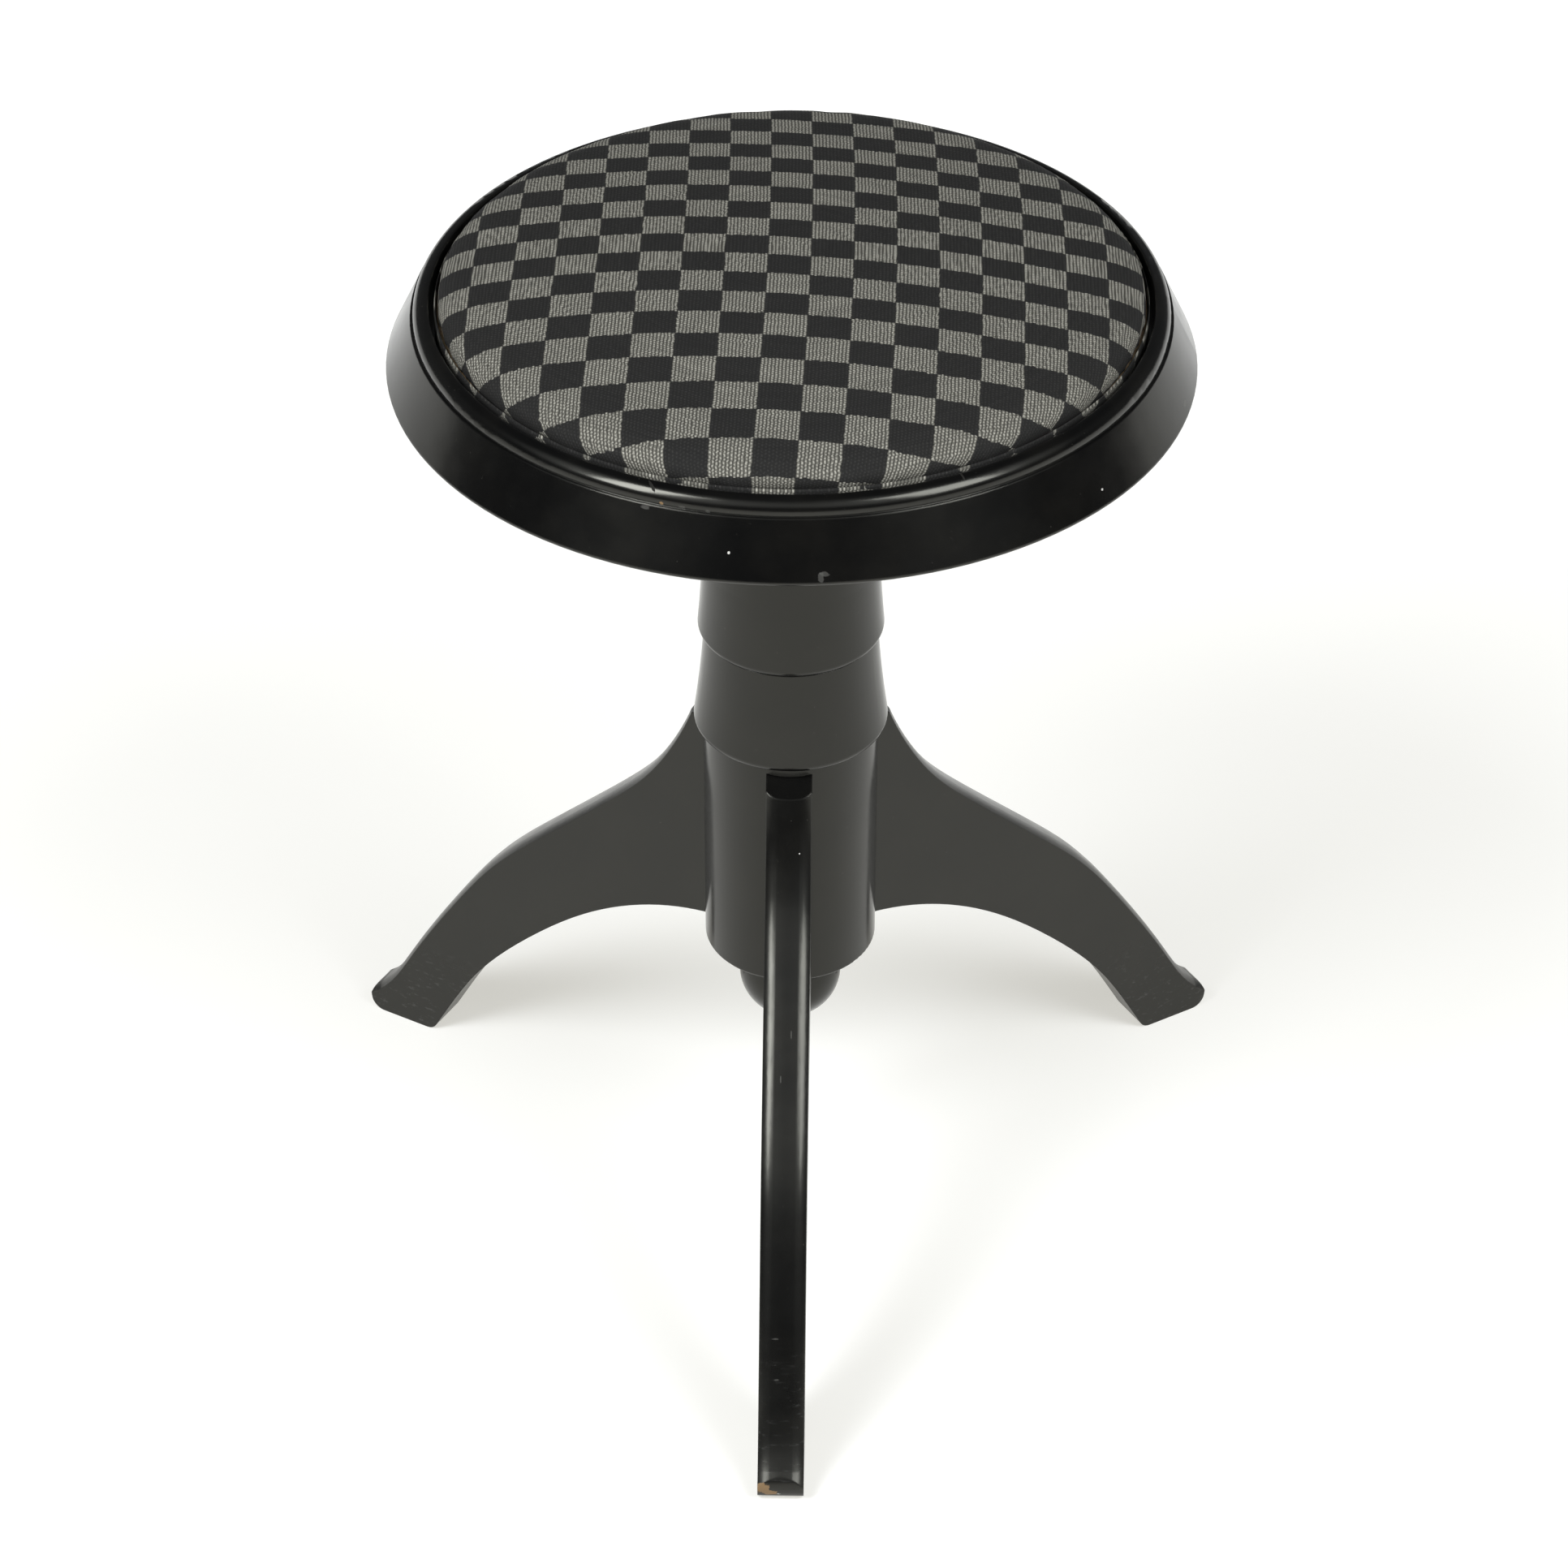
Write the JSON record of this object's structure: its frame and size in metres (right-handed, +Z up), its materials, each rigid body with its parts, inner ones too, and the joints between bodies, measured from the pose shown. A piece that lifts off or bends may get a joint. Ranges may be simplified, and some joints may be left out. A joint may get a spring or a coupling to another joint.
{
  "type": "piano stool",
  "caption": "Round upholstered stool on a turned column with sawn, splayed legs; the seat is turned up and down on a hidden screw.",
  "frame": {"origin": "point on the floor under the column's axis", "axes": "+Z up along the column; -Y towards the front leg; +X to the right as seen from the front"},
  "size_m": [0.4243, 0.4142, 0.51],
  "materials": {
    "black_lacquered_wood": "gloss black lacquer",
    "plain_wood": "bare",
    "cast_iron": "rough cast",
    "steel": "plain, oiled",
    "felt": "pressed felt",
    "filling": "fibre stuffing",
    "upholstery": "ribbed check weave"
  },
  "bodies": {
    "base": {"column": "black_lacquered_wood", "leg_front": "black_lacquered_wood", "leg_right": "black_lacquered_wood", "leg_left": "black_lacquered_wood", "leg_dowels": "plain_wood", "finial": "black_lacquered_wood", "nut_plate": "cast_iron", "nut_screws": "steel"},
    "washer": {"felt_washer": "felt"},
    "seat": {"cuff": "black_lacquered_wood", "seat_board": "black_lacquered_wood", "rim_ring": "black_lacquered_wood", "pad_board": "plain_wood", "spindle_flange": "cast_iron", "spindle": "steel", "stop_washer": "steel", "stop_screw": "steel", "flange_pin": "steel", "flange_screws": "steel", "pad_screws": "steel", "cover_tacks": "steel", "pad_filling": "filling", "seat_cover": "upholstery"}
  },
  "joints": [
    {"name": "seat_turn", "type": "hinge", "parent": "base", "child": "washer", "pos_m": [0, 0, 0.44], "axis": [0, 0, 1], "range_deg": [0, 6000]},
    {"name": "seat_lift", "type": "slide", "parent": "washer", "child": "seat", "axis": [0, 0, 1], "range_m": [0, 0.1]}
  ],
  "couplings": [
    {"joint": "seat_lift", "follows": "seat_turn", "m_per_rad": 0.00095492}
  ]
}
